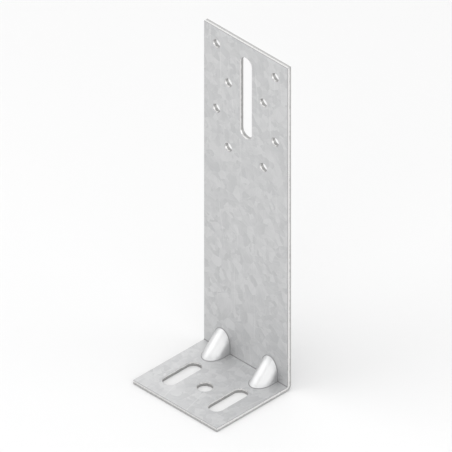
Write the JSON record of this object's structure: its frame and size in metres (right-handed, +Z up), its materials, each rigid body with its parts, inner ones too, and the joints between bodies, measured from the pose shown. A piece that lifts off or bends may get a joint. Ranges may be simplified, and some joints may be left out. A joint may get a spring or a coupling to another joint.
{
  "type": "insulation angle bracket",
  "caption": "Folded steel angle bracket with a tall pierced leg, a short slotted foot and pressed ribs in the fold, for holding battens off a wall through insulation.",
  "frame": {"origin": "centre of the foot's round anchor hole, on the foot's underside", "axes": "+X along the fold, +Y from the foot's front edge to the leg, +Z up the leg, out of the foot's upper face"},
  "size_m": [0.06, 0.0533, 0.2],
  "materials": {
    "zinc_coated_sheet": "hot-dip zinc coating, light grey, satin, with a faint spangle"
  },
  "bodies": {
    "root": {"angle_bracket": "zinc_coated_sheet"}
  },
  "joints": []
}
